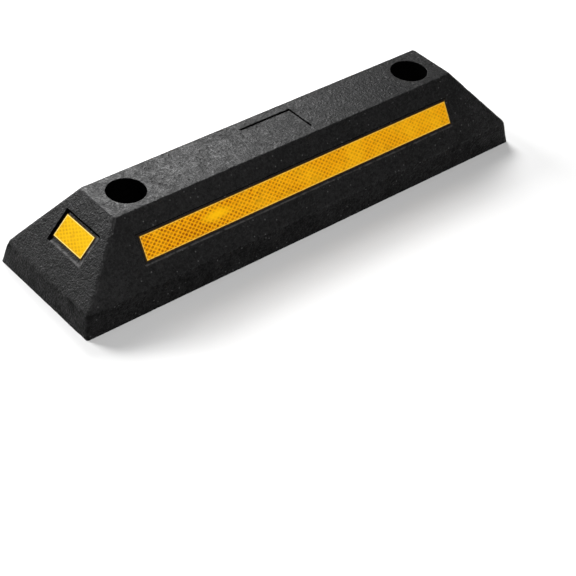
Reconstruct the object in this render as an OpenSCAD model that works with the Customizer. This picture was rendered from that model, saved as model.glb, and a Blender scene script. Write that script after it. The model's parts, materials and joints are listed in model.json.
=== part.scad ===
// Rubber parking wheel stop: one moulded rubber block with two anchor holes,
// a steel seat washer moulded into each hole, and four reflective stickers
// bonded into shallow recesses. Millimetres. +X runs along the stop, +Z is up,
// and the origin is the centre of the base.

/* [Block] */
// Length of the base
length = 560; // [500:5:650]
// Width of the base
width = 145; // [135:1:160]
// Height of the block
height = 88; // [80:1:110]
// Length of the flat top
top_length = 435; // [420:1:460]
// Width of the flat top
top_width = 57; // [54:1:70]
// Height of the steep lip above the ground
lip_height = 25; // [15:1:35]
// How far the lip leans in at its upper edge
lip_inset = 4.5; // [2:0.5:8]

/* [Anchor holes] */
// Distance between the two anchor holes
anchor_spacing = 368; // [340:1:380]
// Diameter of the anchor hole through the foot of the block
anchor_hole_d = 16; // [12:0.5:18]
// Diameter of the deep recess for the anchor's head
head_recess_d = 38.5; // [32:0.5:42]
// Height of that recess's floor above the ground
seat_height = 28; // [20:1:40]
// Outside diameter of the seat washer
washer_od = 30; // [26:1:30]
// Hole in the seat washer
washer_id = 17; // [17:0.5:21]
// Thickness of the seat washer
washer_t = 3; // [2:0.5:4]

/* [Reflectors] */
// Length of the long strips
strip_length = 400; // [300:5:410]
// Length of the end reflectors
end_tape_length = 45; // [30:1:50]
// Width of the reflective tape, the same roll for all four
tape_w = 25.4; // [20:0.1:27]
// Thickness of the reflective film
film_t = 0.4; // [0.3:0.1:0.8]
// Thickness of the adhesive layer
adhesive_t = 0.2; // [0.1:0.1:0.4]
// Depth of the recess that the tape lies in
recess_depth = 1.6; // [1.4:0.2:3]

/* [Top panel] */
// Length of the shallow blank panel in the top
panel_length = 65; // [40:1:90]
// Width of the panel
panel_width = 36; // [20:1:40]
// Depth of the panel
panel_depth = 1.5; // [0.5:0.1:2]

/* [Underside] */
// Pockets along the block, in each of two rows
pocket_columns = 6; // [4:1:6]
// Depth of the pockets
pocket_depth = 36; // [20:1:40]
// Thickness of the ribs between pockets
rib = 10; // [8:1:14]

/* [Hidden] */

rubber_black = [0.12, 0.12, 0.125];
tape_yellow = [0.96, 0.68, 0.07];
adhesive_grey = [0.55, 0.55, 0.52];
zinc_grey = [0.68, 0.69, 0.7];

corner_steps = 8;         // segments in each rounded corner of an outline
crease_radius = 5;        // rounding where the lip meets the slopes
top_edge_radius = 1.2;    // rounding round the flat top
base_corner_radius = 3;   // plan radius of the block's corners, at three heights
lip_corner_radius = 4;
top_corner_radius = 3;

strip_margin = [1.5, 2.2];      // recess floor beyond the tape's ends and long edges
end_tape_margin = [3.1, 3.8];
recess_draft = 1;               // how far the recess walls lean out from floor to rim
recess_corner_radius = 0.8;
strip_slip = [1, 0.6];          // the tape is laid by hand, not quite centred in its recess
end_tape_slip = [-1.1, 1.3];
side_recess_share = 0.486;      // recess's middle, as a share of the way up its slope
end_recess_share = 0.537;

rim_radius = 1;           // rounding at the mouth of the head recess
mouth_step = 15;          // degrees between the points round that mouth
panel_corner_radius = 2.5;
panel_draft = 0.2;        // how far the panel's walls lean out
pocket_corner_radius = 6;
pocket_draft = 2.5;
pocket_row_w = 38;        // width of each row of pockets at the ground
pocket_row_gap = 12;      // centre rib between the rows
overshoot = 1;            // how far a cutter runs past the face it opens
round_fn = 96;

half_l = length / 2;
half_w = width / 2;
lip_half_l = half_l - lip_inset;
lip_half_w = half_w - lip_inset;
slope_rise = height - lip_height;

// Angle of each slope's outward normal above the horizontal.
lip_angle = atan(lip_inset / lip_height);
side_angle = atan((lip_half_w - top_width / 2) / slope_rise);
end_angle = atan((lip_half_l - top_length / 2) / slope_rise);

crease_level_step = 0.8;
top_edge_turns = [side_angle, end_angle, 54, 66, 78, 90];

// Each recess's middle, measured up its slope from the lip.
side_recess_s = norm([lip_half_w - top_width / 2, slope_rise]) * side_recess_share;
end_recess_s = norm([lip_half_l - top_length / 2, slope_rise]) * end_recess_share;

// ---- outlines and lofts ------------------------------------------------------

// One rounded rectangle, as a ring of points at height z.
function ring(half_x, half_y, radius, z) = [
    for (corner = [0 : 3], i = [0 : corner_steps])
        let (
            a = 90 * (corner + i / corner_steps),
            cx = (corner == 0 || corner == 3 ? 1 : -1) * (half_x - radius),
            cy = (corner < 2 ? 1 : -1) * (half_y - radius)
        )
        [cx + radius * cos(a), cy + radius * sin(a), z]
];

// Solid skin over a stack of rings with equal point counts, lowest ring first.
module loft(rings) {
    n = len(rings[0]);
    last = (len(rings) - 1) * n;
    sides = [
        for (k = [0 : len(rings) - 2], i = [0 : n - 1])
            let (a = k * n + i, b = k * n + (i + 1) % n)
            each [[a, a + n, b + n], [a, b + n, b]]
    ];
    bottom = [for (i = [0 : n - 1]) i];
    top = [for (i = [n - 1 : -1 : 0]) last + i];
    polyhedron(points = [for (r = rings) each r], faces = concat([bottom], sides, [top]));
}

// ---- the block's outer form ----------------------------------------------------

// Half size of the block at height z: lip line, rounded crease, slope, rounded top edge.
function half_at(z, base, lip, top, slope_angle) =
    let (
        reach = crease_radius * tan((slope_angle - lip_angle) / 2),
        z_in = lip_height - reach * cos(lip_angle),
        z_out = lip_height + reach * cos(slope_angle),
        crease_x = lip + reach * sin(lip_angle) - crease_radius * cos(lip_angle),
        crease_z = z_in - crease_radius * sin(lip_angle),
        edge_x = top - top_edge_radius * tan((90 - slope_angle) / 2),
        edge_z = height - top_edge_radius
    )
    z <= z_in ? base - (base - lip) * z / lip_height :
    z < z_out ? crease_x + sqrt(pow(crease_radius, 2) - pow(z - crease_z, 2)) :
    z <= edge_z + top_edge_radius * sin(slope_angle) ?
        lip - (lip - top) * (z - lip_height) / slope_rise :
    edge_x + sqrt(max(0, pow(top_edge_radius, 2) - pow(z - edge_z, 2)));

// Plan radius of the corners at height z.
function corner_at(z) = lookup(z, [
    [0, base_corner_radius], [lip_height, lip_corner_radius], [height, top_corner_radius]
]);

// Heights of the loft's rings, close together where the surface turns.
crease_levels = [for (k = [-3 : 3]) lip_height + k * crease_level_step];
top_edge_levels = [for (a = top_edge_turns) height - top_edge_radius * (1 - sin(a))];
levels = concat([0], crease_levels, [lip_height + slope_rise / 2], top_edge_levels);

module outer_form() {
    loft([
        for (z = levels) ring(
            half_at(z, half_l, lip_half_l, top_length / 2, end_angle),
            half_at(z, half_w, lip_half_w, top_width / 2, side_angle),
            corner_at(z), z
        )
    ]);
}

// ---- places on the block -------------------------------------------------------

// On a long slope: x along the block, y up the slope, z out of the rubber.
module on_side(rear = false) {
    rotate(rear ? 180 : 0)
        translate([0, -lip_half_w, lip_height])
            rotate([90 - side_angle, 0, 0])
                translate([0, side_recess_s, 0])
                    children();
}

// On an end slope: x along its width, y up the slope, z out of the rubber.
module on_end(right = false) {
    rotate(right ? 90 : -90)
        translate([0, -lip_half_l, lip_height])
            rotate([90 - end_angle, 0, 0])
                translate([0, end_recess_s, 0])
                    children();
}

module at_anchor(side) {
    translate([side * anchor_spacing / 2, 0, 0]) children();
}

// ---- cutters -------------------------------------------------------------------

// Recess for a tape of the given length: flat floor, walls that lean out.
module tape_recess(tape_length, margin) {
    half_x = tape_length / 2 + margin[0];
    half_y = tape_w / 2 + margin[1];
    flare = recess_draft * (1 + overshoot / recess_depth);
    loft([
        ring(half_x, half_y, recess_corner_radius, -recess_depth),
        ring(half_x + flare, half_y + flare, recess_corner_radius + flare, overshoot)
    ]);
}

// Deep recess for the anchor's head, with a rounded mouth.
module head_recess() {
    r = head_recess_d / 2;
    mouth = [
        for (a = [0 : mouth_step : 90])
            [r + rim_radius * (1 - cos(a)), height - rim_radius * (1 - sin(a))]
    ];
    outline = concat(
        [[0, seat_height], [r, seat_height]],
        mouth,
        [[r + rim_radius, height + overshoot], [0, height + overshoot]]
    );
    rotate_extrude($fn = round_fn) polygon(outline);
}

module anchor_cuts() {
    head_recess();
    translate([0, 0, seat_height - washer_t])
        cylinder(d = washer_od, h = washer_t + overshoot, $fn = round_fn);
    translate([0, 0, -overshoot])
        cylinder(d = anchor_hole_d, h = seat_height, $fn = round_fn);
}

module panel_recess() {
    translate([0, 0, height - panel_depth]) loft([
        ring(panel_length / 2 - panel_draft, panel_width / 2 - panel_draft, panel_corner_radius, 0),
        ring(panel_length / 2, panel_width / 2, panel_corner_radius, panel_depth + overshoot)
    ]);
}

// Two rows of tapering pockets that lighten the block, kept clear of the anchor holes.
module underside_pockets() {
    row_length = anchor_spacing - 2 * washer_od;
    cell = (row_length - rib * (pocket_columns - 1)) / pocket_columns;
    row_y = (pocket_row_w + pocket_row_gap) / 2;
    for (i = [0 : pocket_columns - 1], side = [-1, 1])
        translate([(i - (pocket_columns - 1) / 2) * (cell + rib), side * row_y, 0])
            loft([
                for (z = [-overshoot, pocket_depth])
                    let (lean = pocket_draft * max(z, 0) / pocket_depth)
                    ring(
                        cell / 2 - lean, pocket_row_w / 2 - lean,
                        pocket_corner_radius - lean, z
                    )
            ]);
}

// ---- sub-parts -----------------------------------------------------------------

module rubber_body() {
    color(rubber_black) difference() {
        outer_form();
        for (side = [-1, 1]) at_anchor(side) anchor_cuts();
        for (far = [false, true]) {
            on_side(far) tape_recess(strip_length, strip_margin);
            on_end(far) tape_recess(end_tape_length, end_tape_margin);
        }
        panel_recess();
        underside_pockets();
    }
}

// A flat layer of tape in its recess, starting at a height above the floor.
module tape_layer(tape_length, slip, start, thickness) {
    translate([slip[0] - tape_length / 2, slip[1] - tape_w / 2, start - recess_depth])
        cube([tape_length, tape_w, thickness]);
}

module strip_adhesive() {
    color(adhesive_grey) tape_layer(strip_length, strip_slip, 0, adhesive_t);
}

module strip_film() {
    color(tape_yellow) tape_layer(strip_length, strip_slip, adhesive_t, film_t);
}

module end_adhesive() {
    color(adhesive_grey) tape_layer(end_tape_length, end_tape_slip, 0, adhesive_t);
}

module end_film() {
    color(tape_yellow) tape_layer(end_tape_length, end_tape_slip, adhesive_t, film_t);
}

module seat_washer() {
    color(zinc_grey) translate([0, 0, seat_height - washer_t]) difference() {
        cylinder(d = washer_od, h = washer_t, $fn = round_fn);
        translate([0, 0, -overshoot])
            cylinder(d = washer_id, h = washer_t + 2 * overshoot, $fn = round_fn);
    }
}

rubber_body();
on_side() strip_film();  // front_reflective_strip
on_side(true) strip_film();  // rear_reflective_strip
on_end() end_film();  // left_end_reflector
on_end(true) end_film();  // right_end_reflector
on_side() strip_adhesive();  // front_strip_adhesive
on_side(true) strip_adhesive();  // rear_strip_adhesive
on_end() end_adhesive();  // left_end_adhesive
on_end(true) end_adhesive();  // right_end_adhesive
at_anchor(-1) seat_washer();  // left_seat_washer
at_anchor(1) seat_washer();  // right_seat_washer
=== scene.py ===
"""Looks of the rubber parking wheel stop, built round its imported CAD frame. Metres, +Z up."""
import json
import math

import bmesh
import bpy
import numpy as np
from mathutils import Matrix, Vector, noise


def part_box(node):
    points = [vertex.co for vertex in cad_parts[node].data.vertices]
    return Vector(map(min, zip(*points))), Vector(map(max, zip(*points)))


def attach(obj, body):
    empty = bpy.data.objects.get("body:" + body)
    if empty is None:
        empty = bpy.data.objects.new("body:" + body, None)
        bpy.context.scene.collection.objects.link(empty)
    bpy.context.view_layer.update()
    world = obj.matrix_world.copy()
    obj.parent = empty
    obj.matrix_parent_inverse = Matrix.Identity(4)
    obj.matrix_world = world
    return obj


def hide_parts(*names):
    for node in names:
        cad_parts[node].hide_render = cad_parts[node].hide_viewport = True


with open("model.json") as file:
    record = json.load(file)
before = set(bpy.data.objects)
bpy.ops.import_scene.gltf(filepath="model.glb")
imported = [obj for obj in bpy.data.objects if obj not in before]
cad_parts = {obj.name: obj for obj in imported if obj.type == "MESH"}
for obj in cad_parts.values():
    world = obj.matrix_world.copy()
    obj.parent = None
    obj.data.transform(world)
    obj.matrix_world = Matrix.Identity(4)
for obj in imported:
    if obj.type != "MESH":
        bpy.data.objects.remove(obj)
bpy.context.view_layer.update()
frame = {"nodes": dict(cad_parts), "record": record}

MM = 0.001
TAU = 2 * math.pi
SEED = Vector((3.7, 11.3, 5.9))

# ---- sizes taken from the frame -----------------------------------------------

mounts = {m["name"]: m for m in frame["record"]["mounts"]}
block_low, block_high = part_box("rubber_body")
HALF_L, HALF_W, HEIGHT = block_high
ANCHOR_X = mounts["right_anchor_hole"]["pos_m"][0]
ANCHOR_R = mounts["right_anchor_hole"]["dims"]["r_mm"] * MM
HEAD_R = mounts["right_head_recess"]["dims"]["r_mm"] * MM
washer_low, washer_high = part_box("right_seat_washer")
WASHER_R = (washer_high.x - washer_low.x) / 2
SEAT_Z = washer_high.z
WASHER_Z = washer_low.z

# ---- sizes of the moulding that the record doesn't give ------------------------

LIP_HEIGHT = 25 * MM
LIP_INSET = 4.5 * MM
TOP_HALF_L = 217.5 * MM
TOP_HALF_W = 28.5 * MM
CREASE_RADIUS = 5 * MM
TOP_EDGE_RADIUS = 1.2 * MM
FOOT_RADIUS = 0.5 * MM
CORNER_RADII = ((0, 3 * MM), (LIP_HEIGHT, 4 * MM), (HEIGHT, 3 * MM))    # height, radius
CORNER_STEPS = 8

RECESS_DEPTH = 1.6 * MM
# The rim beyond the tape's ends and long edges; how far the front, rear, lower and upper
# walls lean; the tape's place in its recess; the depth and length of the rim's wobble.
STRIP_RECESS = {
    "margin": (2.5 * MM, 3.2 * MM), "leans": (1.0 * MM, 1.0 * MM, 1.8 * MM, 0.4 * MM),
    "slip": (1.0 * MM, 0.6 * MM), "wobble": (0.25 * MM, 16 * MM),
}
END_RECESS = {
    "margin": (4.1 * MM, 4.8 * MM), "leans": (2.9 * MM, 1.1 * MM, 2.4 * MM, 1.1 * MM),
    "slip": (-1.1 * MM, 1.3 * MM), "wobble": (0.45 * MM, 8 * MM),
}
PANEL_HALF = (32.5 * MM, 18 * MM)
PANEL_DEPTH = 1.5 * MM
PANEL_LEANS = (0.5 * MM,) * 4
FLOOR_BLEND, CORNER_BLEND = 0.3, 0.9    # rounding of a recess, in shares of a wall's lean
MOUTH_RADIUS = 1.0 * MM
MOUTH_FADE = 12 * MM                    # wear of the skin fades out this far down a bore

POCKET_COLUMNS = 6
POCKET_DEPTH = 36 * MM
POCKET_DRAFT = 2.5 * MM
POCKET_ROW_W = 38 * MM
POCKET_ROW_GAP = 12 * MM
POCKET_CORNER = 6 * MM
RIB = 10 * MM

CELL = 1.5 * MM             # spacing of the moulding's mesh
FINEST = 0.15 * MM          # least distance between two of its lines
STRIP_CLEAR = 2 * MM        # fixed mesh columns run this far beyond the strips' recesses
END_CLEAR = 1.2 * MM        # and this far beyond the end tapes' recesses
ALONG_SHARE, ACROSS_SHARE = 0.97, 0.86      # the most of a straight that they may take
ALONG_STEPS, ACROSS_STEPS = 20, 16          # columns between them and each corner
BLOCK_HALF = HEAD_R + 1.8 * MM              # square left out of the top round each bore
BORE_RINGS = 16


# ---- mesh helpers ---------------------------------------------------------------

class Build:
    """Points and faces gathered ring by ring."""

    def __init__(self):
        self.points = []
        self.faces = []

    def add(self, points):
        start = len(self.points)
        self.points.extend(tuple(p) for p in points)
        return list(range(start, len(self.points)))

    def bridge(self, a, b):
        """Quads between two closed rings of equal length."""
        n = len(a)
        self.faces += [(a[i], a[(i + 1) % n], b[(i + 1) % n], b[i]) for i in range(n)]

    def rings(self, loops):
        """Adds point loops and joins each to the one before; returns their indices."""
        made = [self.add(loop) for loop in loops]
        for a, b in zip(made, made[1:]):
            self.bridge(a, b)
        return made

    def grid(self, index, left_out=None):
        """Quads between the neighbours in a grid of indices, without the cells left out."""
        for i, j in np.ndindex(index.shape[0] - 1, index.shape[1] - 1):
            if left_out is None or not left_out[i, j]:
                quad = (index[i, j], index[i + 1, j], index[i + 1, j + 1], index[i, j + 1])
                self.faces.append(tuple(int(k) for k in quad))

    def mesh(self, name, smooth=True):
        data = bpy.data.meshes.new(name)
        data.from_pydata(self.points, [], self.faces)
        data.polygons.foreach_set("use_smooth", [smooth] * len(data.polygons))
        data.validate()
        return data


def add_object(name, data):
    thing = bpy.data.objects.new(name, data)
    bpy.context.scene.collection.objects.link(thing)
    return thing


def show(data, node):
    """A mesh as a piece of the object, on the frame's one body, in place of a CAD node."""
    piece = add_object(data.name, data)
    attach(piece, "root")
    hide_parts(node)
    return piece


def store(data, name, values):
    """Keeps a value or a vector at each point of a mesh, for its material to read."""
    kind, field = ("FLOAT", "value") if values.ndim == 1 else ("FLOAT_VECTOR", "vector")
    data.attributes.new(name, kind, "POINT").data.foreach_set(field, values.ravel())


def cad_points(node):
    return np.array([v.co for v in frame["nodes"][node].data.vertices])


def round_block(i0, i1, j0, j1):
    """Grid places round a block of cells, counter-clockwise from its first corner."""
    return (
        [(i, j0) for i in range(i0, i1)] + [(i1, j) for j in range(j0, j1)]
        + [(i, j1) for i in range(i1, i0, -1)] + [(i0, j) for j in range(j1, j0, -1)]
    )


def spread(keys, spacing):
    """The key values in order, with even steps of at most the spacing between them."""
    keys = sorted(keys)
    kept = [keys[0]]
    for k in keys[1:-1]:
        if k - kept[-1] > FINEST and keys[-1] - k > FINEST:
            kept.append(k)
    kept.append(keys[-1])
    values = [kept[0]]
    for a, b in zip(kept, kept[1:]):
        steps = max(1, math.ceil((b - a) / spacing - 1e-6))
        values += [a + (b - a) * i / steps for i in range(1, steps + 1)]
    return np.array(values)


def smooth_min(a, b, k):
    """The lesser of two values, blended where they differ by less than k."""
    h = np.maximum(k - np.abs(a - b), 0) / k
    return np.minimum(a, b) - h * h * k / 4


def inside_by(x, y, half_x, half_y, corner):
    """How far each point lies inside a rounded rectangle, negative outside."""
    qx = np.abs(x) - half_x + corner
    qy = np.abs(y) - half_y + corner
    out = np.hypot(np.maximum(qx, 0), np.maximum(qy, 0))
    return corner - out - np.minimum(np.maximum(qx, qy), 0)


def sunk(x, y, half, leans, depth):
    """Depth of a recess with leaning walls: 0 beyond its rim, the full depth on its floor."""
    side = np.minimum((half[0] + x) / leans[0], (half[0] - x) / leans[1])
    lower = (half[1] + y) / leans[2]
    upper = (half[1] - y) / leans[3]
    share = smooth_min(smooth_min(lower, upper, FLOOR_BLEND), side, CORNER_BLEND)
    share = -smooth_min(-share, 0, FLOOR_BLEND)
    return depth * smooth_min(share, 1, FLOOR_BLEND)


ROUGHNESS, LACUNARITY = 0.8, 2.1


def wave(points, length, octaves=2, shift=0.0):
    """Smooth noise from about -1 to 1 at each point, with the given wavelength."""
    offset = SEED + Vector((shift, shift * 0.7, -shift))
    return np.array([
        noise.fractal(Vector(p) / length + offset, ROUGHNESS, LACUNARITY, octaves)
        for p in points
    ])


# ---- where the tapes lie ---------------------------------------------------------

class Place:
    """A tape's own frame: along its length, up the slope, and out of the rubber."""

    def __init__(self, film, adhesive, recess):
        corners = cad_points(film)
        size, axes = np.linalg.eigh(np.cov(corners.T, bias=True))
        self.thickness, self.width, self.length = 2 * np.sqrt(size)
        out = axes[:, 0] * np.sign(axes[2, 0])
        up = axes[:, 1] * np.sign(axes[2, 1])
        self.axes = np.column_stack([np.cross(up, out), up, out])
        self.centre = corners.mean(axis=0)
        floor = ((cad_points(adhesive) - self.centre) @ out).min()
        self.rim = floor + RECESS_DEPTH
        self.slip = np.array([*recess["slip"], 0])
        self.half = (
            self.length / 2 + recess["margin"][0], self.width / 2 + recess["margin"][1],
        )
        self.leans = recess["leans"]
        self.wobble = recess["wobble"]
        # The end tapes run across the block, and this says which way along them is rearward.
        self.across = abs(self.axes[1, 0]) > 0.5
        self.rearward = np.sign(self.axes[1, 0]) if self.across else 1.0

    def local(self, points):
        """Points seen from the middle of the recess's rim."""
        seen = (points - self.centre) @ self.axes
        return seen + self.slip - [0, 0, self.rim]


places = {
    "front": Place("front_reflective_strip", "front_strip_adhesive", STRIP_RECESS),
    "rear": Place("rear_reflective_strip", "rear_strip_adhesive", STRIP_RECESS),
    "left_end": Place("left_end_reflector", "left_end_adhesive", END_RECESS),
    "right_end": Place("right_end_reflector", "right_end_adhesive", END_RECESS),
}


# ---- the moulding's outline --------------------------------------------------------

def slope_angle(half_base, half_top):
    """How far a slope leans from upright."""
    return math.atan((half_base - LIP_INSET - half_top) / (HEIGHT - LIP_HEIGHT))


def half_at(z, base, top):
    """The block's half size at height z, from its half sizes at the base and the top.

    From below: rounded foot, lip, rounded crease, slope, rounded top edge.
    """
    lip = base - LIP_INSET
    lean = math.atan(LIP_INSET / LIP_HEIGHT)
    slope = slope_angle(base, top)
    reach = CREASE_RADIUS * math.tan((slope - lean) / 2)
    z_in = LIP_HEIGHT - reach * math.cos(lean)
    z_out = LIP_HEIGHT + reach * math.cos(slope)
    edge_z = HEIGHT - TOP_EDGE_RADIUS
    if z <= z_in:
        foot = max(0, FOOT_RADIUS - z)
        rounded = FOOT_RADIUS - math.sqrt(FOOT_RADIUS ** 2 - foot ** 2)
        return base - LIP_INSET * z / LIP_HEIGHT - rounded
    if z < z_out:
        x = lip + reach * math.sin(lean) - CREASE_RADIUS * math.cos(lean)
        dz = z - (z_in - CREASE_RADIUS * math.sin(lean))
        return x + math.sqrt(CREASE_RADIUS ** 2 - dz ** 2)
    if z <= edge_z + TOP_EDGE_RADIUS * math.sin(slope):
        return lip - (lip - top) * (z - LIP_HEIGHT) / (HEIGHT - LIP_HEIGHT)
    x = top - TOP_EDGE_RADIUS * math.tan((math.pi / 2 - slope) / 2)
    return x + math.sqrt(max(0, TOP_EDGE_RADIUS ** 2 - (z - edge_z) ** 2))


def corner_at(z):
    """Radius of the outline's corners at height z."""
    heights, radii = zip(*CORNER_RADII)
    return float(np.interp(z, heights, radii))


# Mesh lines gather where a recess wall turns down, this far inside its rim.
WALL_LINES = [q * MM for q in (-0.8, -0.3, 0, 0.25, 0.5, 0.75, 1.05, 1.5, 2.0, 2.6)]
LIP_LINE = 0.8 * MM         # their spacing near the crease above the lip


def wall_pair(half):
    """The lines at the two opposite walls of a recess."""
    return [side * (half - q) for q in WALL_LINES for side in (-1, 1)]


def profile_heights():
    """Heights of the rings, from the ground to the top."""
    keys = [0, HEIGHT]
    keys += [FOOT_RADIUS * (1 - math.cos(math.radians(a))) for a in (25, 45, 65, 90)]
    keys += [LIP_HEIGHT + k * LIP_LINE for k in range(-3, 4)]
    for place in (places["front"], places["left_end"]):
        middle = place.centre + place.axes @ (np.array([0, 0, place.rim]) - place.slip)
        rise = place.axes[2, 1]
        keys += [middle[2] + rise * s for s in wall_pair(place.half[1])]
    for base, top in ((HALF_L, TOP_HALF_L), (HALF_W, TOP_HALF_W)):
        first = slope_angle(base, top)
        keys += [
            HEIGHT - TOP_EDGE_RADIUS * (1 - math.sin(first + (math.pi / 2 - first) * t))
            for t in (0, 0.25, 0.5, 0.75)
        ]
    return spread(keys, 0.8 * CELL)


class Straight:
    """Mesh columns along a side's straight stretch: fixed ones in the middle, and
    ones outside them that close up as the block narrows."""

    def __init__(self, keys, middle, share, outer_steps):
        self.lines = spread([*keys, -middle, middle], CELL)
        self.middle = middle
        self.share = share
        self.fractions = np.linspace(0, 1, outer_steps + 1)[1:]

    def at(self, half):
        middle = min(self.middle, self.share * half)
        inner = self.lines * middle / self.middle
        outer = middle + (half - middle) * self.fractions
        return np.concatenate([-outer[::-1], inner, outer])


strip_half = places["front"].half[0]
end_half = places["left_end"].half[0]
along = Straight(
    [*wall_pair(strip_half), *wall_pair(PANEL_HALF[0])],
    strip_half + STRIP_CLEAR, ALONG_SHARE, ALONG_STEPS,
)
# The columns across close up towards the top, so the panel's are set out wider to match.
top_straight = half_at(HEIGHT, HALF_W, TOP_HALF_W) - corner_at(HEIGHT)
panel_scale = (end_half + END_CLEAR) / (ACROSS_SHARE * top_straight)
across = Straight(
    [*wall_pair(end_half), *(panel_scale * y for y in wall_pair(PANEL_HALF[1]))],
    end_half + END_CLEAR, ACROSS_SHARE, ACROSS_STEPS,
)


def perimeter(z):
    """One ring round the block at height z, counter-clockwise from the front left."""
    half_x, half_y = half_at(z, HALF_L, TOP_HALF_L), half_at(z, HALF_W, TOP_HALF_W)
    r = corner_at(z)
    xs, ys = along.at(half_x - r), across.at(half_y - r)
    ring = []
    for quarter in range(4):
        turn = quarter * math.pi / 2
        line, side = (xs, half_y) if quarter % 2 == 0 else (ys, half_x)
        ahead = line[-1]
        flat = [(t, -side) for t in line]
        steps = [math.radians(-90 + 90 * k / CORNER_STEPS) for k in range(1, CORNER_STEPS)]
        flat += [(ahead + r * math.cos(a), -side + r + r * math.sin(a)) for a in steps]
        c, s = math.cos(turn), math.sin(turn)
        ring += [(c * x - s * y, s * x + c * y, z) for x, y in flat]
    return ring


def top_grid(ring):
    """Grid of mesh points over the flat top, with the ring given as its border."""
    z = HEIGHT
    half_x, half_y = half_at(z, HALF_L, TOP_HALF_L), half_at(z, HALF_W, TOP_HALF_W)
    r = corner_at(z)
    pad = CORNER_STEPS // 2
    steps = r * np.arange(1, pad + 1) / pad
    xs, ys = along.at(half_x - r), across.at(half_y - r)
    xs = np.concatenate([-(half_x - r) - steps[::-1], xs, half_x - r + steps])
    ys = np.concatenate([-(half_y - r) - steps[::-1], ys, half_y - r + steps])
    gx, gy = np.meshgrid(xs, ys, indexing="ij")
    u = np.clip((np.abs(gx) - half_x + r) / r, 0, 1)
    v = np.clip((np.abs(gy) - half_y + r) / r, 0, 1)
    corner = (u > 0) & (v > 0)
    # Coons patch between the corner's two straight edges and its two half arcs.
    eighth = math.pi / 4
    px = v * np.sin(eighth * u) + u * np.cos(eighth * v) - u * v * math.cos(eighth)
    py = v * np.cos(eighth * u) + u * np.sin(eighth * v) - u * v * math.sin(eighth)
    gx = np.where(corner, np.sign(gx) * (half_x - r + r * px), gx)
    gy = np.where(corner, np.sign(gy) * (half_y - r + r * py), gy)
    index = np.full(gx.shape, -1)
    border = round_block(0, gx.shape[0] - 1, 0, gx.shape[1] - 1)
    for k, (i, j) in enumerate(border):
        index[i, j] = ring[(k - pad) % len(ring)]
    return gx, gy, index


def rounded_rectangle(half_x, half_y, r, steps=6):
    """Outline of a rounded rectangle, counter-clockwise."""
    return [
        (
            (1 if quarter in (0, 3) else -1) * (half_x - r) + r * math.cos(a),
            (1 if quarter < 2 else -1) * (half_y - r) + r * math.sin(a),
        )
        for quarter in range(4)
        for a in (math.pi / 2 * (quarter + k / steps) for k in range(steps + 1))
    ]


# ---- the moulding -------------------------------------------------------------------

def circle(centre_x, r, z, angles):
    return [(centre_x + r * math.cos(a), r * math.sin(a), z) for a in angles]


def anchor_hole(build, loop, centre_x):
    """From a loop in the top grid down through the head recess to the ground."""
    rim = np.array([build.points[k][:2] for k in loop])
    angles = np.arctan2(rim[:, 1], rim[:, 0] - centre_x)
    # From the square loop to the round mouth, then over its rounded edge.
    mouth = np.array(circle(centre_x, HEAD_R + MOUTH_RADIUS, HEIGHT, angles))
    square = np.column_stack([rim, np.full(len(rim), HEIGHT)])
    levels = [square + (mouth - square) * t for t in (0.3, 0.6, 0.85, 1)]
    for a in (18, 36, 54, 72, 90):
        turn = math.radians(a)
        r = HEAD_R + MOUTH_RADIUS * (1 - math.sin(turn))
        levels.append(circle(centre_x, r, HEIGHT - MOUTH_RADIUS * (1 - math.cos(turn)), angles))
    for z in np.linspace(HEIGHT - MOUTH_RADIUS, SEAT_Z, BORE_RINGS)[1:]:
        levels.append(circle(centre_x, HEAD_R, z, angles))
    for r, z in (
        (WASHER_R, SEAT_Z), (WASHER_R, WASHER_Z), (ANCHOR_R, WASHER_Z), (ANCHOR_R, 0),
    ):
        levels.append(circle(centre_x, r, z, angles))
    made = [loop] + [build.add(level) for level in levels]
    for a, b in zip(made, made[1:]):
        build.bridge(a, b)


def flat_top(build, ring):
    """The top's grid, with an anchor hole in place of a block of its cells at each end.

    Returns how many points belong to the skin; those of the holes come after them.
    """
    gx, gy, index = top_grid(ring)
    xs, ys = gx[:, gx.shape[1] // 2], gy[gy.shape[0] // 2]
    loops = []
    filled = np.ones(gx.shape, bool)
    left_out = np.zeros(gx.shape, bool)
    j0, j1 = (int(np.abs(ys - y).argmin()) for y in (-BLOCK_HALF, BLOCK_HALF))
    for centre_x in (-ANCHOR_X, ANCHOR_X):
        reach = (centre_x - BLOCK_HALF, centre_x + BLOCK_HALF)
        i0, i1 = (int(np.abs(xs - x).argmin()) for x in reach)
        filled[i0 + 1:i1, j0 + 1:j1] = False
        left_out[i0:i1, j0:j1] = True
        loops.append((centre_x, i0, i1))
    for i, j in np.argwhere(filled & (index < 0)):
        index[i, j] = build.add([(gx[i, j], gy[i, j], HEIGHT)])[0]
    build.grid(index, left_out)
    skin = len(build.points)
    for centre_x, i0, i1 in loops:
        loop = [int(index[i, j]) for i, j in round_block(i0, i1, j0, j1)]
        anchor_hole(build, loop, centre_x)
    return skin


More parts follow.
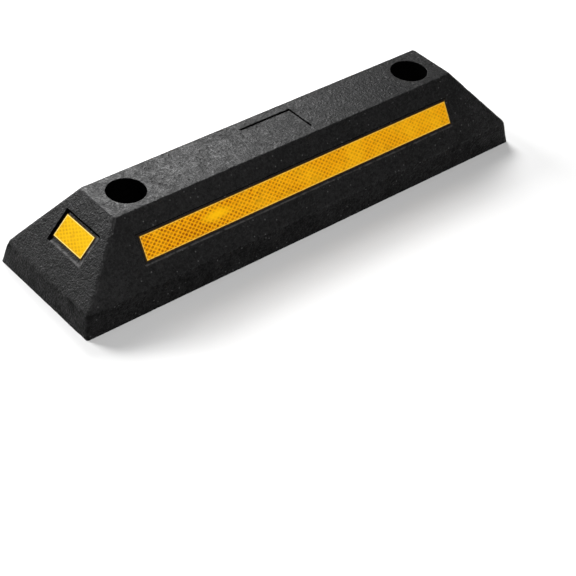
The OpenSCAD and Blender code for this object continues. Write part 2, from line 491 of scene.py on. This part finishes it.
def underside_pockets(build):
    """Two rows of tapering pockets between the anchor holes."""
    row = 2 * ANCHOR_X - 4 * WASHER_R
    cell = (row - RIB * (POCKET_COLUMNS - 1)) / POCKET_COLUMNS
    row_y = (POCKET_ROW_W + POCKET_ROW_GAP) / 2
    # Height up the pocket, and how far its wall has leaned in by then.
    wall = [(0, -0.8 * MM), (0.25 * MM, -0.3 * MM), (0.8 * MM, 0)]
    wall += [(POCKET_DEPTH * t, POCKET_DRAFT * t) for t in (0.25, 0.5, 0.75, 0.96)]
    wall.append((0.99 * POCKET_DEPTH, POCKET_DRAFT + 0.4 * MM))
    wall.append((POCKET_DEPTH, POCKET_DRAFT + 1.5 * MM))
    for i in range(POCKET_COLUMNS):
        for side in (-1, 1):
            x = (i - (POCKET_COLUMNS - 1) / 2) * (cell + RIB)
            loops = []
            for z, lean in wall:
                outline = rounded_rectangle(
                    cell / 2 - lean, POCKET_ROW_W / 2 - lean, POCKET_CORNER - lean,
                )
                loops.append([(x + px, side * row_y + py, z) for px, py in reversed(outline)])
            made = build.rings(loops)
            build.faces.append(tuple(made[-1]))


NEAR = 0.5 * MM             # a point this close to a slope's plane lies on that slope
AWAY = 99.0                 # stands for a point with no tape near it, in millimetres
TOUCHING = 0.01 * MM        # tolerance for a point in the plane of the ground or the top
HIGHLIGHT_FADE, END_HIGHLIGHT_FADE = 2 * MM, 3 * MM     # of a painted highlight towards the wall's ends


def press_recesses(points):
    """Sinks the tape recesses into the slopes and the blank panel into the top.

    Returns each point's distances beyond the nearest tape's ends and long edges, in
    millimetres, and the strength of a painted highlight on it: on the lower walls,
    which face up, and on the front wall of each end's recess.
    """
    gaps = np.full((len(points), 3), AWAY)
    painted_light_marks = np.zeros(len(points))
    for place in places.values():
        local = place.local(points)
        near = np.abs(local[:, 2]) < NEAR
        x, y = local[near, 0] * place.rearward, local[near, 1]
        on_tape = local[near] - place.slip
        gaps[near, 0] = (np.abs(on_tape[:, 0]) - place.length / 2) / MM
        gaps[near, 1] = (np.abs(on_tape[:, 1]) - place.width / 2) / MM
        depth, length = place.wobble
        wobble = depth * wave(points[near], length, 2, shift=2.0)
        half = (place.half[0] + wobble, place.half[1] + wobble)
        # Down the lower wall this runs from 0 to 1, and the painted highlight is strongest half
        # way.
        down = (half[1] + y) / place.leans[2]
        within = np.clip((half[0] - np.abs(x)) / HIGHLIGHT_FADE, 0, 1)
        painted_light_marks[near] = np.clip(1.25 - np.abs(2 * down - 1), 0, 1) * within
        # The front wall of an end recess gets a painted highlight too.
        if place.across:
            down = (half[0] + x) / place.leans[0]
            within = np.clip((half[1] - np.abs(y)) / END_HIGHLIGHT_FADE, 0, 1)
            front = np.clip(1.6 - np.abs(1.6 * down - 1.6), 0, 1) * within
            painted_light_marks[near] = np.maximum(painted_light_marks[near], front)
        points[near] -= sunk(x, y, half, place.leans, RECESS_DEPTH)[:, None] * place.axes[:, 2]
    top = points[:, 2] > HEIGHT - TOUCHING
    panel = sunk(points[top, 0], points[top, 1], PANEL_HALF, PANEL_LEANS, PANEL_DEPTH)
    points[top, 2] -= panel
    return gaps, painted_light_marks


# Unevenness all over the skin: its depth, wavelength, octaves and shift of the noise.
SWELL = (0.16 * MM, 75 * MM, 1, 0.0)
DENTS = (0.14 * MM, 15 * MM, 2, 5.0)
CRUMB = (0.10 * MM, 4.2 * MM, 2, 9.0)
# Damage in some places: its greatest depth, how far it reaches, and its wavelength.
FOOT_NICKS, FOOT_REACH, NICK_LENGTH = 0.7 * MM, 4 * MM, 9 * MM
RIDGE_KNOCKS, RIDGE_REACH, KNOCK_LENGTH = 0.3 * MM, 7 * MM, 8 * MM
CREASE_TEARS, TEAR_REACH, TEAR_LENGTH = 1.5 * MM, 4.5 * MM, 9 * MM
TEARS_BELOW = 2 * MM                            # the middle of the tears, below the crease
TEARS_FROM_END, TEARS_FADE = 25 * MM, 15 * MM   # they begin this far in, and grow outwards
PROFILE_STEPS = 45


def skin_wear(points, normals):
    """Unevenness of moulded crumb rubber, inward only, so that the block keeps its size.

    Returns each point's move, and the painted shade of a torn crease or a nick, 0 to 1.
    """
    depth = sum(
        deep * (0.5 + 0.5 * wave(points, length, octaves, shift))
        for deep, length, octaves, shift in (SWELL, DENTS, CRUMB)
    )
    x, y, z = points.T
    foot = np.clip(1 - z / FOOT_REACH, 0, 1)
    nicks = np.maximum(wave(points, NICK_LENGTH, 3, shift=13.0) - 0.15, 0)
    depth += FOOT_NICKS * foot * nicks
    # The ridges where two sides meet are knocked about.
    heights = np.linspace(0, HEIGHT, PROFILE_STEPS)
    half_x = np.interp(z, heights, [half_at(h, HALF_L, TOP_HALF_L) for h in heights])
    half_y = np.interp(z, heights, [half_at(h, HALF_W, TOP_HALF_W) for h in heights])
    from_ridge = np.maximum(half_x - np.abs(x), half_y - np.abs(y))
    ridge = np.clip(1.4 - from_ridge / RIDGE_REACH, 0, 1)
    depth += RIDGE_KNOCKS * ridge * np.maximum(wave(points, KNOCK_LENGTH, 2, shift=21.0), 0)
    # The ends' lower crease is ragged, where the mould was filled last.
    at_end = np.clip((np.abs(x) - HALF_L + TEARS_FROM_END) / TEARS_FADE, 0, 1)
    crease = np.clip(1 - np.abs(z - LIP_HEIGHT + TEARS_BELOW) / TEAR_REACH, 0, 1)
    tears = np.maximum(wave(points, TEAR_LENGTH, 2, shift=17.0), 0)
    torn_and_shaded = at_end * crease * (0.1 + tears)
    depth += CREASE_TEARS * torn_and_shaded
    moved = -normals * depth[:, None]
    moved[z < TOUCHING, 2] = 0
    # The returned share is painted shade in the torn crease and the foot's nicks.
    return moved, np.clip(2.5 * torn_and_shaded + 1.5 * foot * nicks, 0, 1)


def moulding():
    """The rubber block as one closed mesh."""
    build = Build()
    rings = build.rings([perimeter(z) for z in profile_heights()])
    skin = flat_top(build, rings[-1])
    underside_pockets(build)
    points = np.array(build.points)
    gaps, painted_light_marks = np.full((len(points), 3), AWAY), np.zeros(len(points))
    gaps[:skin], painted_light_marks[:skin] = press_recesses(points[:skin])
    build.points = points.tolist()
    data = build.mesh("moulded_block")

    # The base is filled in between its outline, the pockets and the anchor holes.
    bm = bmesh.new()
    bm.from_mesh(data)
    open_edges = [e for e in bm.edges if e.is_boundary]
    made = bmesh.ops.triangle_fill(bm, use_beauty=True, edges=open_edges, normal=(0, 0, -1))
    for face in made["geom"]:
        if isinstance(face, bmesh.types.BMFace):
            face.smooth = False
    bm.to_mesh(data)
    bm.free()

    coords = np.zeros(len(data.vertices) * 3)
    data.vertices.foreach_get("co", coords)
    coords = coords.reshape(-1, 3)
    normals = np.array([n.vector for n in data.vertex_normals])
    # Full wear on the outside, fading out down the mouth of each head recess.
    weight = np.clip((coords[:, 2] - HEIGHT + MOUTH_FADE) / MOUTH_FADE, 0, 1)
    weight[:skin] = 1
    worn = weight > 0
    moved, torn_and_shaded = skin_wear(coords[worn], normals[worn])
    coords[worn] += moved * weight[worn, None]
    data.vertices.foreach_set("co", coords.ravel())
    data.update()
    # One attribute holds both: painted highlights are above 0 and the painted shade of tears and
    # nicks below it.
    painted_light_marks[worn] -= torn_and_shaded
    store(data, "tape_gap", gaps)
    store(data, "painted_light", painted_light_marks)
    return data


# The block's second material is painted shade.
SKIN, PAINTED_SHADE, FOOT = 0, 1, 2     # the block's materials
SHADE_SLACK = 0.3 * MM              # shade reaches this far beyond a recess's shaded walls
REAR_SHADE = 4.3 * MM               # and this far from the rim of an end recess's rear wall
PANEL_SHADE = 1.1 * MM              # width of the painted shade along the panel's walls
CREASE_RAGGED = 1.6 * MM            # unevenness of the dull lip's upper edge


def sort_faces(data):
    """Gives each face its material: the skin, painted shade on the faces in the bores and under
    a recess's rim, or the dull lip below the ragged crease."""
    centres = np.zeros(len(data.polygons) * 3)
    data.polygons.foreach_get("center", centres)
    centres = centres.reshape(-1, 3)
    from_axis = np.hypot(np.abs(centres[:, 0]) - ANCHOR_X, centres[:, 1])
    painted_shade_faces = (from_axis < HEAD_R + MOUTH_RADIUS / 2) & (centres[:, 2] > TOUCHING)
    for place in places.values():
        x, y, z = place.local(centres).T
        from_upper = place.half[1] - y
        upper = (from_upper > -SHADE_SLACK) & (from_upper < place.leans[3] + SHADE_SLACK)
        under_rim = upper & (np.abs(x) < place.half[0])
        if place.across:
            # In the end recesses the rear wall and the floor beside it get painted shade too.
            from_rear = place.half[0] - x * place.rearward
            rear = (from_rear > -SHADE_SLACK) & (from_rear < REAR_SHADE)
            under_rim |= rear & (np.abs(y) < place.half[1])
        painted_shade_faces |= (np.abs(z) < RECESS_DEPTH + 2 * NEAR) & under_rim
    # The blank panel's far wall and its right one get painted shade too.
    x, y, z = centres.T
    from_far, from_right = PANEL_HALF[1] - y, PANEL_HALF[0] - x
    far = (from_far > 0) & (from_far < PANEL_SHADE) & (np.abs(x) < PANEL_HALF[0])
    right = (from_right > 0) & (from_right < PANEL_SHADE) & (np.abs(y) < PANEL_HALF[1])
    painted_shade_faces |= (z > HEIGHT - PANEL_DEPTH - 2 * NEAR) & (far | right)
    ragged = CREASE_RAGGED * wave(centres, 6 * MM, 2, shift=25.0)
    low = z < LIP_HEIGHT - CREASE_RAGGED / 2 + ragged
    chosen = np.where(painted_shade_faces, PAINTED_SHADE, np.where(low, FOOT, SKIN))
    data.polygons.foreach_set("material_index", chosen)


block = show(moulding(), "rubber_body")


# ---- reflective films ------------------------------------------------------------------

# The film's diamond cells: half the step along the tape and half the step across it.
CELL_STEP = (3.01 * MM, 2.30 * MM)
FILM_BORDER = 0.7 * MM
FILM_CORNER = 0.1 * MM
FILM_MESH = (0.75 * MM, 0.6 * MM)           # mesh spacing along and across
EMBOSSING = 0.05 * MM
EDGE_ROUNDING = 0.06 * MM
RIPPLE, RIPPLE_LENGTH = 0.10 * MM, 42 * MM


def film(name, node, place, seed):
    """Embossed film: sealed border, diamond cells pressed into the face, hand-laid ripples."""
    half_x, half_y = place.length / 2, place.width / 2
    sealed = [FILM_BORDER * t for t in (0, 0.2, 0.6, 1)]
    xs = spread([s * (half_x - b) for b in sealed for s in (-1, 1)], FILM_MESH[0])
    ys = spread([s * (half_y - b) for b in sealed for s in (-1, 1)], FILM_MESH[1])
    gx, gy = np.meshgrid(xs, ys, indexing="ij")
    inside = inside_by(gx, gy, half_x, half_y, FILM_CORNER)
    u, v = gx / CELL_STEP[0], gy / CELL_STEP[1]
    cells = np.abs(np.cos(math.pi * (u + v) / 2) * np.cos(math.pi * (u - v) / 2))
    pressed = EMBOSSING * cells * np.clip((inside - FILM_BORDER / 2) / FILM_BORDER, 0, 1)
    rounded = EDGE_ROUNDING * np.clip(1 - inside / (0.2 * FILM_BORDER), 0, 1)
    flat = np.column_stack([gx.ravel(), gy.ravel(), np.full(gx.size, seed)])
    ripple = RIPPLE * (0.5 + 0.5 * wave(flat, RIPPLE_LENGTH, 2, shift=seed))
    gz = place.thickness / 2 - pressed - rounded - ripple.reshape(gx.shape)

    build = Build()
    local = np.column_stack([gx.ravel(), gy.ravel(), gz.ravel()])
    build.add(local @ place.axes.T + place.centre)
    index = np.arange(gx.size).reshape(gx.shape)
    build.grid(index)
    border = round_block(0, gx.shape[0] - 1, 0, gx.shape[1] - 1)
    edge = [int(index[i, j]) for i, j in border]
    under = local[edge].copy()
    under[:, 2] = -place.thickness / 2
    low = build.add(under @ place.axes.T + place.centre)
    build.bridge(low, edge)
    build.faces.append(tuple(reversed(low)))
    data = build.mesh(name)
    data.polygons[len(data.polygons) - 1].use_smooth = False
    # Each point's place on the tape and its distance from the cut edge, in millimetres.
    on_tape = np.vstack([local, under]) / MM
    on_tape[:, 2] = 0
    store(data, "on_tape", on_tape)
    store(data, "edge", np.concatenate([inside.ravel() / MM, np.zeros(len(under))]))
    return show(data, node)


films = [
    film("front_film", "front_reflective_strip", places["front"], 1.0),
    film("rear_film", "rear_reflective_strip", places["rear"], 2.0),
    film("left_end_film", "left_end_reflector", places["left_end"], 3.0),
    film("right_end_film", "right_end_reflector", places["right_end"], 4.0),
]


# ---- seat washers ------------------------------------------------------------------------

ROLL, BURR = 0.5 * MM, 0.15 * MM        # edge radii of the washer, above and below
ROLL_STEPS = 4
WASHER_SIDES = 72


def washer(name, node):
    """Stamped steel washer: rolled edges above, sharper ones below."""
    low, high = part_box(node)
    centre_x = (low.x + high.x) / 2
    outer_r = (high.x - low.x) / 2
    points = cad_points(node)
    inner_r = np.hypot(points[:, 0] - centre_x, points[:, 1]).min()
    profile = []
    for corner_r, corner_z, sign_r, sign_z, size in (
        (outer_r, low.z, -1, 1, BURR), (outer_r, high.z, -1, -1, ROLL),
        (inner_r, high.z, 1, -1, ROLL), (inner_r, low.z, 1, 1, BURR),
    ):
        arc = [math.radians(90 * k / ROLL_STEPS) for k in range(ROLL_STEPS + 1)]
        if sign_r * sign_z < 0:
            arc.reverse()
        profile += [
            (
                corner_r + sign_r * size * (1 - math.cos(a)),
                corner_z + sign_z * size * (1 - math.sin(a)),
            )
            for a in arc
        ]
    angles = [TAU * k / WASHER_SIDES for k in range(WASHER_SIDES)]
    build = Build()
    made = build.rings([circle(centre_x, r, z, angles) for r, z in profile])
    build.bridge(made[-1], made[0])
    return show(build.mesh(name), node)


washers = [
    washer("left_washer", "left_seat_washer"),
    washer("right_washer", "right_seat_washer"),
]


# ---- materials ---------------------------------------------------------------------------

class Surface:
    """A node material made with short calls. Texture sizes are in metres."""

    def __init__(self, name):
        self.material = bpy.data.materials.new(name)
        self.material.use_nodes = True
        self.tree = self.material.node_tree
        self.tree.nodes.clear()
        self.at = self.add("TexCoord", out="Object")

    def add(self, kind, inputs=None, out=0, **settings):
        node = self.tree.nodes.new("ShaderNode" + kind)
        for key, value in settings.items():
            setattr(node, key, value)
        for socket, value in (inputs or {}).items():
            if isinstance(value, bpy.types.NodeSocket):
                self.tree.links.new(value, node.inputs[socket])
            else:
                node.inputs[socket].default_value = value
        return node.outputs[out]

    def noise(self, size, detail=2.0, rough=0.55, twist=0.0, at=None):
        """Noise with features about the given size across, mostly from 0.3 to 0.7."""
        inputs = {
            "Vector": at or self.at, "Scale": 1 / size, "Detail": detail, "Roughness": rough,
            "Distortion": twist,
        }
        return self.add("TexNoise", inputs)

    def cells(self, size, out="Distance"):
        """Cells about the given size apart: the distance to each one's middle, or its colour."""
        return self.add("TexVoronoi", {"Vector": self.at, "Scale": 1 / size}, out=out)

    def calc(self, operation, a, b=0.0, c=0.0):
        return self.add("Math", {0: a, 1: b, 2: c}, operation=operation)

    def remap(self, value, low, high, to_low=0.0, to_high=1.0):
        inputs = {0: value, 1: low, 2: high, 3: to_low, 4: to_high}
        return self.add("MapRange", inputs, clamp=True)

    def blend(self, factor, a, b):
        inputs = {0: factor, 6: (*a, 1) if isinstance(a, tuple) else a}
        inputs[7] = (*b, 1) if isinstance(b, tuple) else b
        return self.add("Mix", inputs, out=2, data_type="RGBA")

    def bump(self, height, distance):
        return self.add("Bump", {"Height": height, "Distance": distance, "Strength": 1.0})

    def close(self, **inputs):
        """Ends the material with its shader; underscores stand for spaces."""
        named = {key.replace("_", " "): value for key, value in inputs.items()}
        shader = self.add("BsdfPrincipled", named)
        end = self.tree.nodes.new("ShaderNodeOutputMaterial")
        self.tree.links.new(shader, end.inputs["Surface"])
        return self.material


# Linear colours, as all of those below are.
RUBBER_DARK = (0.0004, 0.0004, 0.0005)
RUBBER_LIGHT = (0.0090, 0.0088, 0.0090)
RUBBER_SPECK = (0.09, 0.09, 0.09)
# Painted shade in pits, the burst bubble, torn creases and nicks.
HOLLOW_SHADE = (0.0008, 0.0008, 0.0008)
# A painted highlight, pale grey, on the recess walls that face up.
PAINTED_HIGHLIGHT = (0.060, 0.058, 0.058)
TAPE_OUTLINE_BROWN = (0.022, 0.011, 0.003)
# Colours of the painted shade.
PAINTED_SHADE_DARK = (0.0004, 0.0004, 0.0004)
PAINTED_SHADE_LIGHT = (0.0016, 0.0016, 0.0017)
RUBBER_SPECULAR = 0.2
FOOT_SPECULAR = 0.09                    # the steep lip is scraped dull
END_COARSENESS = 3.3                    # of the grain on the ends, against the rest
END_FADE = 12 * MM                      # over which it grows, from the top's edge outwards
END_PIT = (-228.2 * MM, 2.5 * MM, 76.5 * MM)    # a burst bubble high on the left end, painted as a dark spot of shade


def crumb_rubber(name, specular):
    """Moulded black crumb rubber: pebbled grain, worm-like flow wrinkles, pits and pale specks,
    with painted shade in its hollows and painted highlights on lit recess walls.
    """
    s = Surface(name)
    grain = s.noise(2.1 * MM, detail=2.0, rough=0.6)
    pebbles = s.cells(3.6 * MM)
    flow = s.noise(6 * MM, detail=1.0, twist=1.4)
    wrinkle = s.remap(s.calc("ABSOLUTE", s.calc("SUBTRACT", flow, 0.5)), 0.0, 0.08)
    mottle = s.noise(12 * MM, detail=3.0, rough=0.6)
    patches = s.noise(60 * MM, detail=2.0)
    pits = s.remap(s.cells(8 * MM), 0.10, 0.18, 1.0, 0.0)
    # About a quarter of the cells hold a pale speck.
    speck_pick = s.add("SeparateColor", {"Color": s.cells(4.3 * MM, out="Color")})
    speck_spot = s.remap(s.cells(4.3 * MM), 0.12, 0.22, 1.0, 0.0)
    specks = s.calc("MULTIPLY", speck_spot, s.remap(speck_pick, 0.75, 0.8))

    # Height of the skin in millimetres. The ends' grain is coarser, where the crumb met
    # the mould last.
    along = s.add("SeparateXYZ", {"Vector": s.at}).node.outputs["X"]
    coarse = s.remap(
        s.calc("ABSOLUTE", along), TOP_HALF_L, TOP_HALF_L + END_FADE, 1.0, END_COARSENESS,
    )
    height = s.calc("MULTIPLY", s.calc("MULTIPLY", grain, 0.42), coarse)
    rises = (pebbles, -0.20), (wrinkle, 0.13), (mottle, 0.40), (pits, -0.6), (specks, 0.1)
    for layer, rise in rises:
        height = s.calc("MULTIPLY_ADD", layer, rise, height)
    normal = s.bump(height, 1 * MM)

    # Colour: the crumb's own tone, then specks, then painted shade in the pits and a burst bubble.
    crumbs = s.noise(3.2 * MM, detail=1.0)
    tone = s.calc("MULTIPLY", grain, 1.2)
    for layer, share in ((crumbs, 1.0), (mottle, 0.5), (patches, 0.4), (wrinkle, 0.12)):
        tone = s.calc("MULTIPLY_ADD", layer, share, tone)
    tone = s.remap(tone, 1.45, 1.85)
    colour = s.blend(tone, RUBBER_DARK, RUBBER_LIGHT)
    colour = s.blend(s.calc("MULTIPLY", specks, 0.7), colour, RUBBER_SPECK)
    colour = s.blend(s.calc("MULTIPLY", pits, 0.8), colour, HOLLOW_SHADE)
    to_pit = s.add("VectorMath", {0: s.at, 1: END_PIT}, out="Value", operation="DISTANCE")
    colour = s.blend(s.remap(to_pit, 0.6 * MM, 1.1 * MM, 1.0, 0.0), colour, HOLLOW_SHADE)
    # Painted shade darkens the tears and nicks, and a painted highlight greys the lit walls.
    painted_light = s.add("Attribute", attribute_name="painted_light", out="Fac")
    colour = s.blend(s.remap(painted_light, -1.0, 0.0, 0.9, 0.0), colour, HOLLOW_SHADE)
    patchy = s.remap(s.noise(5 * MM, detail=3.0), 0.3, 0.6)
    painted_light = s.calc("MULTIPLY", s.remap(painted_light, 0.0, 1.0), patchy)
    colour = s.blend(painted_light, colour, PAINTED_HIGHLIGHT)
    # A dark brown band is painted on the rubber up to a millimetre beyond each tape's edges.
    gap = s.add("Attribute", attribute_name="tape_gap", out="Vector")
    beyond = s.add("VectorMath", {0: gap, 1: (0, 0, 0)}, operation="MAXIMUM")
    split = s.add("SeparateXYZ", {"Vector": beyond}).node
    reach = s.calc("MAXIMUM", split.outputs["X"], split.outputs["Y"])
    colour = s.blend(s.remap(reach, 0.3, 1.0, 1.0, 0.0), colour, TAPE_OUTLINE_BROWN)
    rough = s.calc("MULTIPLY_ADD", mottle, 0.45, s.calc("MULTIPLY", grain, 0.55))
    rough = s.remap(rough, 0.36, 0.64, 0.68, 0.32)
    return s.close(
        Base_Color=colour, Roughness=rough, Normal=normal, IOR=1.5, Specular_IOR_Level=specular,
    )


def painted_shade_rubber():
    """Painted shade: smooth black rubber without specular, for the bores and the shaded walls of
    the recesses and the panel.
    """
    s = Surface("painted_shade_rubber")
    streaks = s.noise(3 * MM, detail=3.0)
    colour = s.blend(streaks, PAINTED_SHADE_DARK, PAINTED_SHADE_LIGHT)
    normal = s.bump(streaks, 0.15 * MM)
    rough = s.remap(streaks, 0.3, 0.7, 0.8, 0.95)
    return s.close(Base_Color=colour, Roughness=rough, Normal=normal, Specular_IOR_Level=0.0)


FILM_GRIME = (0.40, 0.17, 0.004)
FILM_EDGE_DARK = (0.06, 0.028, 0.004)
FILM_FADE = 38 * MM                 # size of the patches where the cells are fainter
FILM_GLINT = (-112, 1.5, 0)         # the middle of a painted glint, where the cells fade, in tape millimetres
GLINT_SHAPE = (1 / 22, 1 / 6, 0)    # one over its reach along and across the tape
GLINT_YELLOW = (1.0, 0.56, 0.002)
STRIP_END = 200                     # millimetres from the middle of a long tape
FILM_SPECULAR = 0.06


def reflective_film(name, dot, ground, line, border, contrast):
    """Yellow reflective sheeting: diamond cells under a clear face, sealed border, a dark line at
    the cut edge, and a painted glint.
    """
    s = Surface(name)
    on_tape = s.add("Attribute", attribute_name="on_tape", out="Vector")
    split = s.add("SeparateXYZ", {"Vector": on_tape}).node
    along, across = split.outputs["X"], split.outputs["Y"]
    u = s.calc("MULTIPLY", along, MM * math.pi / 2 / CELL_STEP[0])
    v = s.calc("MULTIPLY", across, MM * math.pi / 2 / CELL_STEP[1])
    one = s.calc("COSINE", s.calc("ADD", u, v))
    other = s.calc("COSINE", s.calc("SUBTRACT", u, v))
    cells = s.calc("ABSOLUTE", s.calc("MULTIPLY", one, other))

    fade = s.remap(s.noise(FILM_FADE, detail=2.0), 0.35, 0.65)
    grain = s.noise(1.5 * MM, detail=3.0, rough=0.7)
    # The cells are crisp where the roll was started and pressed flatter further on.
    crisp = s.remap(along, -STRIP_END, STRIP_END, contrast, 0.40 * contrast)
    crisp = s.calc("MULTIPLY", crisp, s.remap(fade, 0.0, 1.0, 1.1, 0.6))
    fine = s.remap(grain, 0.35, 0.6, 0.7, 1.3)
    uneven = s.calc("MULTIPLY", fine, s.remap(s.noise(4 * MM), 0.35, 0.65, 0.6, 1.3))
    dots = s.calc("MULTIPLY", cells, s.calc("MULTIPLY", crisp, uneven))
    # A painted glint: the cells fade and the colour turns bright yellow there.
    to_glint = s.add("VectorMath", {0: on_tape, 1: FILM_GLINT}, operation="SUBTRACT")
    to_glint = s.add("VectorMath", {0: to_glint, 1: GLINT_SHAPE}, operation="MULTIPLY")
    to_glint = s.add("VectorMath", {0: to_glint}, out="Value", operation="LENGTH")
    glint = s.remap(to_glint, 0.2, 1.0, 0.7, 0.0)
    dots = s.calc("MULTIPLY", dots, s.calc("SUBTRACT", 1.0, glint))
    faded = s.remap(fade, 0.0, 1.0, 0.3, 0.65)
    tone = s.calc("MULTIPLY_ADD", s.calc("SUBTRACT", grain, 0.5), 2.0, faded)
    colour = s.blend(tone, ground, line)
    colour = s.blend(dots, colour, dot)
    colour = s.blend(glint, colour, GLINT_YELLOW)
    grime = s.remap(s.noise(15 * MM, detail=4.0, rough=0.7), 0.55, 0.70, 0.0, 0.4)
    colour = s.blend(grime, colour, FILM_GRIME)
    # Millimetres from the cut edge: a dark line along it, then the pale sealed border.
    edge = s.add("Attribute", attribute_name="edge", out="Fac")
    sealed = s.calc("MULTIPLY", s.remap(edge, 0.6, 0.8), s.remap(edge, 1.1, 1.7, 1.0, 0.0))
    colour = s.blend(s.calc("MULTIPLY", sealed, 0.8), colour, border)
    colour = s.blend(s.remap(edge, 0.55, 0.85, 0.97, 0.0), colour, FILM_EDGE_DARK)
    normal = s.bump(s.calc("MULTIPLY_ADD", cells, -0.5, grain), 0.06 * MM)
    rough = s.remap(grain, 0.3, 0.7, 0.50, 0.68)
    return s.close(
        Base_Color=colour, Roughness=rough, Normal=normal, Specular_IOR_Level=FILM_SPECULAR,
    )


FOAM_DARK = (0.035, 0.030, 0.024)
FOAM_LIGHT = (0.09, 0.08, 0.065)
FOAM_DUST = (0.02, 0.018, 0.015)


def adhesive():
    """Grey acrylic foam adhesive with trapped dust."""
    s = Surface("foam_adhesive")
    foam = s.noise(0.8 * MM, detail=3.0, rough=0.7)
    dust = s.noise(9 * MM, detail=3.0)
    colour = s.blend(foam, FOAM_DARK, FOAM_LIGHT)
    colour = s.blend(s.remap(dust, 0.5, 0.7, 0.0, 0.6), colour, FOAM_DUST)
    rough = s.remap(foam, 0.3, 0.7, 0.6, 0.85)
    return s.close(Base_Color=colour, Roughness=rough, Normal=s.bump(foam, 0.1 * MM))


ZINC_DARK = (0.42, 0.43, 0.43)
ZINC_LIGHT = (0.62, 0.62, 0.60)
ZINC_PALE = (0.72, 0.72, 0.70)


def zinc_plate():
    """Bright zinc plating, dulled in patches, with fine stamping lines."""
    s = Surface("zinc_plate")
    stretched = s.add("Mapping", {"Vector": s.at, "Scale": (1, 12, 1)})
    lines = s.noise(1.2 * MM, detail=3.0, at=stretched)
    patches = s.noise(5 * MM, detail=3.0)
    colour = s.blend(patches, ZINC_DARK, ZINC_LIGHT)
    colour = s.blend(s.remap(patches, 0.58, 0.7, 0.0, 0.7), colour, ZINC_PALE)
    rough = s.calc("MULTIPLY_ADD", lines, 0.3, s.calc("MULTIPLY", patches, 0.7))
    rough = s.remap(rough, 0.3, 0.7, 0.28, 0.55)
    normal = s.bump(lines, 0.02 * MM)
    return s.close(Base_Color=colour, Metallic=1.0, Roughness=rough, Normal=normal)


FLOOR_PALE = (0.67, 0.67, 0.67)
FLOOR_PALER = (0.70, 0.70, 0.70)


def pale_floor():
    """Plain matt floor with the faintest haze in it."""
    s = Surface("pale_floor")
    haze = s.noise(0.4, detail=2.0)
    colour = s.blend(haze, FLOOR_PALE, FLOOR_PALER)
    rough = s.remap(haze, 0.3, 0.7, 0.85, 0.95)
    return s.close(Base_Color=colour, Roughness=rough, Specular_IOR_Level=0.1)


# In the order of the skin, the painted shade and the foot.
block.data.materials.append(crumb_rubber("crumb_rubber", RUBBER_SPECULAR))
block.data.materials.append(painted_shade_rubber())
block.data.materials.append(crumb_rubber("foot_rubber", FOOT_SPECULAR))
sort_faces(block.data)

side_film = reflective_film(
    "side_film", dot=(0.30, 0.060, 0.0), ground=(0.93, 0.37, 0.001), line=(1.0, 0.54, 0.008),
    border=(1.0, 0.64, 0.10), contrast=1.1,
)
end_film = reflective_film(
    "end_film", dot=(0.36, 0.16, 0.0), ground=(0.66, 0.36, 0.0), line=(0.76, 0.45, 0.002),
    border=(0.95, 0.78, 0.26), contrast=0.8,
)
for piece in films:
    piece.data.materials.append(end_film if "end" in piece.name else side_film)
zinc = zinc_plate()
for piece in washers:
    piece.data.materials.append(zinc)
glue = adhesive()
for name, node in frame["nodes"].items():
    if name.endswith("_adhesive"):
        node.data.materials.clear()
        node.data.materials.append(glue)


# ---- camera, lights and floor --------------------------------------------------------------

# The camera fitted to the photo's straight edges.
CAMERA_AT = Vector((-0.9011, -0.9851, 1.0028))
CAMERA_TO = Vector((-0.1153, -0.1595, 0.0440))
CAMERA_ROLL = math.radians(5.18)
CAMERA_SENSOR, CAMERA_LENS = 36, 100.7
VIEW_END = 20
AMBIENT = 0.03
FLOOR_HALF = 9.0


def aimed(at, to):
    """Stands something at one point and turns it to face another."""
    turn = (Vector(to) - Vector(at)).to_track_quat("-Z", "Y")
    return Matrix.Translation(at) @ turn.to_matrix().to_4x4()


camera_data = bpy.data.cameras.new("camera")
camera_data.sensor_width = CAMERA_SENSOR
camera_data.lens = CAMERA_LENS
camera_data.clip_end = VIEW_END
camera = add_object("camera", camera_data)
camera.matrix_world = aimed(CAMERA_AT, CAMERA_TO) @ Matrix.Rotation(CAMERA_ROLL, 4, "Z")
bpy.context.scene.camera = camera


def softbox(name, at, to, size, power):
    data = bpy.data.lights.new(name, "AREA")
    data.shape = "RECTANGLE"
    data.size, data.size_y = size
    data.energy = power
    light = add_object(name, data)
    light.visible_camera = False
    light.matrix_world = aimed(at, to)


softbox("key", at=(0.29, 0.72, 0.75), to=(-0.15, 0, 0.09), size=(0.5, 0.35), power=15)
softbox("overhead", at=(0, 0.2, 2.6), to=(0, 0, 0), size=(2.4, 2.4), power=6)
softbox("end_fill", at=(-0.51, 0.96, 0.72), to=(-0.25, 0, 0.05), size=(0.45, 0.35), power=18)
softbox("front_fill", at=(-0.45, -1.1, 1.5), to=(0, 0, 0.05), size=(0.8, 0.6), power=25.5)

# Four washes turned away from the block keep the floor pale further out.
WASH_AT = Vector((0, 2.0, 1.5))
WASH_TO = Vector((0, 3.45, 0))
for k in range(4):
    turn = Matrix.Rotation(k * math.pi / 2, 3, "Z")
    softbox(f"wash_{k}", at=turn @ WASH_AT, to=turn @ WASH_TO, size=(4, 1), power=110)

world = bpy.data.worlds.new("studio")
world.use_nodes = True
bpy.context.scene.world = world
backdrop = world.node_tree.nodes["Background"].inputs
backdrop["Color"].default_value = (1, 1, 1, 1)
backdrop["Strength"].default_value = AMBIENT

floor_build = Build()
corners = [(FLOOR_HALF * x, FLOOR_HALF * y, 0) for x, y in ((-1, -1), (1, -1), (1, 1), (-1, 1))]
floor_build.faces.append(tuple(floor_build.add(corners)))
floor = add_object("floor", floor_build.mesh("floor", smooth=False))
floor.data.materials.append(pale_floor())

bpy.context.scene.view_settings.view_transform = "Standard"
